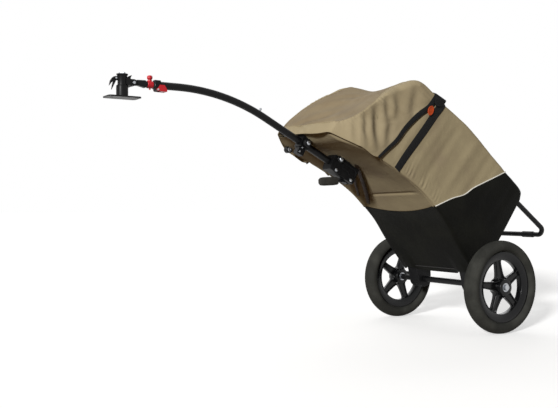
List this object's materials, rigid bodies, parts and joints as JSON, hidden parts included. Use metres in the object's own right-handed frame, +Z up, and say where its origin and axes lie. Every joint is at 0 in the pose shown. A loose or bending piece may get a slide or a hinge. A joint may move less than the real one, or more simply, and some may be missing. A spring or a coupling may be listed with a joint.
{
  "type": "bike shopping trailer",
  "caption": "Two-wheeled shopping bag trailer on a tube frame, with a bent drawbar that slides in two clamps and a swivelling hitch post for a bicycle's carrier.",
  "frame": {"origin": "centre of the underside of the hitch's base plate, under the hitch's pivot", "axes": "+X forward, towards the bicycle; +Y to the left; +Z up"},
  "size_m": [1.6498, 0.5994, 0.8741],
  "materials": {
    "powder_coat": "satin black powder coat",
    "zinc": "zinc-plated steel",
    "black_plastic": "matt black plastic",
    "glossy_plastic": "glossy black plastic",
    "red_plastic": "red plastic",
    "khaki_cloth": "coated khaki polyester",
    "black_cloth": "coated black polyester",
    "webbing": "black polyester webbing",
    "reflective": "off-white reflective piping",
    "orange_rubber": "orange rubber",
    "black_rubber": "black rubber",
    "tyre_rubber": "dark grey tyre rubber",
    "board": "black twin-wall plastic board"
  },
  "bodies": {
    "receiver": {"base_plate": "powder_coat", "receiver_post": "powder_coat", "wear_washer": "black_plastic", "pivot_bolt": "zinc"},
    "swivel": {"swivel_head": "powder_coat", "pitch_pin": "zinc", "claw_pin": "zinc"},
    "claw": {"release_claw": "powder_coat"},
    "arm": {"coupling_arm": "powder_coat", "lock_collar": "red_plastic"},
    "lock": {"lock_button": "red_plastic"},
    "towbar": {"drawbar": "powder_coat", "drawbar_plug": "zinc", "clip_block": "black_plastic", "clip_pin": "zinc", "drawbar_end_cap": "black_plastic"},
    "clip": {"safety_clip": "red_plastic"},
    "stop": {"stop_button": "zinc"},
    "trolley": {"rail_left": "powder_coat", "rail_right": "powder_coat", "top_bow": "powder_coat", "crossbar": "powder_coat", "base_board": "board", "stand_loop": "powder_coat", "stand_sleeve": "black_plastic", "upper_clamp": "black_plastic", "lower_clamp": "black_plastic", "lever_bolt": "zinc", "clamp_bolt_upper": "zinc", "clamp_bolt_lower": "zinc", "guide_screw_upper": "zinc", "guide_screw_lower": "zinc", "axle_tube": "powder_coat", "axle_clamp_left": "black_plastic", "axle_clamp_right": "black_plastic", "axle_bolt_left": "zinc", "axle_bolt_right": "zinc", "tub": "black_cloth", "upper_bag": "khaki_cloth", "piping": "reflective", "side_strap": "webbing", "keeper_strap": "webbing"},
    "knob": {"clamp_knob": "black_plastic"},
    "cam": {"cam_lever": "powder_coat", "lever_grip": "black_rubber"},
    "lid": {"hood": "khaki_cloth", "hood_strap": "webbing", "strap_tag": "orange_rubber"},
    "wheel_left": {"rim_left": "glossy_plastic", "tyre_left": "tyre_rubber", "inner_tube_left": "black_rubber", "bearing_left_outer": "zinc", "bearing_left_inner": "zinc"},
    "wheel_right": {"rim_right": "glossy_plastic", "tyre_right": "tyre_rubber", "inner_tube_right": "black_rubber", "bearing_right_outer": "zinc", "bearing_right_inner": "zinc"}
  },
  "joints": [
    {"name": "hitch_yaw", "type": "hinge", "parent": "receiver", "child": "swivel", "pos_m": [0, 0, 0.0373], "axis": [0, 0, 1], "range_deg": [-100, 100]},
    {"name": "claw_pivot", "type": "hinge", "parent": "swivel", "child": "claw", "pos_m": [0.0205, 0, 0.0563], "axis": [0, -1, 0], "range_deg": [0, 35]},
    {"name": "hitch_pitch", "type": "hinge", "parent": "swivel", "child": "arm", "pos_m": [-0.033, 0, 0.0465], "axis": [0, 1, 0], "range_deg": [-10, 45]},
    {"name": "lock_pull", "type": "slide", "parent": "arm", "child": "lock", "axis": [0, 0, 1], "range_m": [0, 0.005], "stiffness_N_per_m": 300, "springref_m": -0.001},
    {"name": "drawbar_roll", "type": "hinge", "parent": "arm", "child": "towbar", "pos_m": [-0.0855, 0, 0.0455], "axis": [1, 0, 0], "range_deg": [-25, 25]},
    {"name": "clip_pivot", "type": "hinge", "parent": "towbar", "child": "clip", "pos_m": [-0.1065, 0, 0.0318], "axis": [0, -1, 0], "range_deg": [0, 60], "stiffness_Nm_per_rad": 0.04, "springref_deg": -8.59},
    {"name": "stop_press", "type": "slide", "parent": "towbar", "child": "stop", "axis": [0.4243, 0, -0.9055], "range_m": [0, 0.003], "stiffness_N_per_m": 400, "springref_m": -0.001},
    {"name": "drawbar_slide", "type": "slide", "parent": "towbar", "child": "trolley", "axis": [0.887, 0, 0.4617], "range_m": [0, 0.145]},
    {"name": "knob_turn", "type": "hinge", "parent": "trolley", "child": "knob", "pos_m": [-0.62796, 0, -0.10547], "axis": [0, 1, 0], "range_deg": [0, 360]},
    {"name": "cam_pivot", "type": "hinge", "parent": "trolley", "child": "cam", "pos_m": [-0.80628, 0, -0.22423], "axis": [0, 1, 0], "range_deg": [0, 70]},
    {"name": "lid_hinge", "type": "hinge", "parent": "trolley", "child": "lid", "pos_m": [-0.61547, 0, -0.07642], "axis": [0, 1, 0], "range_deg": [0, 85]},
    {"name": "wheel_spin_left", "type": "hinge", "parent": "trolley", "child": "wheel_left", "pos_m": [-1.26636, 0.2675, -0.59], "axis": [0, 1, 0], "continuous": true},
    {"name": "wheel_spin_right", "type": "hinge", "parent": "trolley", "child": "wheel_right", "pos_m": [-1.26636, -0.2675, -0.59], "axis": [0, 1, 0], "continuous": true}
  ]
}
